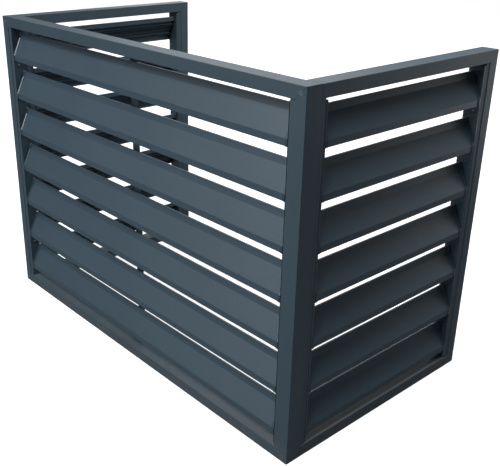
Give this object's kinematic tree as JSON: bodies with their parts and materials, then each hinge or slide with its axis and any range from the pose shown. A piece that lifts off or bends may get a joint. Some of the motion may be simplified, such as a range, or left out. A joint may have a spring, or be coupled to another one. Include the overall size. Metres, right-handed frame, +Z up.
{
  "type": "air conditioner screen",
  "caption": "Louvred aluminium screen in anthracite for an outdoor air conditioner, open at the top and the back.",
  "frame": {"origin": "on the ground, at the centre of the footprint's bounding box", "axes": "+X to the right as seen from the front, +Y towards the wall, +Z up; the long louvred panel faces -Y"},
  "size_m": [1.1, 0.6, 0.78],
  "materials": {
    "frame_coat": "satin anthracite powder coat on aluminium tube",
    "blade_coat": "satin anthracite powder coat on extruded aluminium blades",
    "channel_coat": "satin anthracite powder coat on aluminium channel",
    "clip_nylon": "moulded dark nylon",
    "bare_aluminium": "uncoated extrusion",
    "painted_steel": "grey painted steel screws"
  },
  "bodies": {
    "root": {"front_top_rail": "frame_coat", "front_bottom_rail": "frame_coat", "front_left_stile": "frame_coat", "front_right_stile": "frame_coat", "front_middle_bar": "frame_coat", "front_left_channel": "channel_coat", "front_left_clip_strip": "clip_nylon", "front_right_channel": "channel_coat", "front_right_clip_strip": "clip_nylon", "front_blade_1": "blade_coat", "front_blade_2": "blade_coat", "front_blade_3": "blade_coat", "front_blade_4": "blade_coat", "front_blade_5": "blade_coat", "front_blade_6": "blade_coat", "front_blade_7": "blade_coat", "front_top_left_cleat": "bare_aluminium", "front_top_right_cleat": "bare_aluminium", "front_bottom_left_cleat": "bare_aluminium", "front_bottom_right_cleat": "bare_aluminium", "right_top_rail": "frame_coat", "right_bottom_rail": "frame_coat", "right_rear_stile": "frame_coat", "right_front_channel": "channel_coat", "right_front_clip_strip": "clip_nylon", "right_rear_channel": "channel_coat", "right_rear_clip_strip": "clip_nylon", "right_blade_1": "blade_coat", "right_blade_2": "blade_coat", "right_blade_3": "blade_coat", "right_blade_4": "blade_coat", "right_blade_5": "blade_coat", "right_blade_6": "blade_coat", "right_blade_7": "blade_coat", "right_top_cleat": "bare_aluminium", "right_top_plug": "clip_nylon", "right_top_screw": "painted_steel", "right_bottom_cleat": "bare_aluminium", "right_bottom_plug": "clip_nylon", "right_bottom_screw": "painted_steel", "left_top_rail": "frame_coat", "left_bottom_rail": "frame_coat", "left_rear_stile": "frame_coat", "left_front_channel": "channel_coat", "left_front_clip_strip": "clip_nylon", "left_rear_channel": "channel_coat", "left_rear_clip_strip": "clip_nylon", "left_blade_1": "blade_coat", "left_blade_2": "blade_coat", "left_blade_3": "blade_coat", "left_blade_4": "blade_coat", "left_blade_5": "blade_coat", "left_blade_6": "blade_coat", "left_blade_7": "blade_coat", "left_top_cleat": "bare_aluminium", "left_top_plug": "clip_nylon", "left_top_screw": "painted_steel", "left_bottom_cleat": "bare_aluminium", "left_bottom_plug": "clip_nylon", "left_bottom_screw": "painted_steel"}
  },
  "joints": []
}
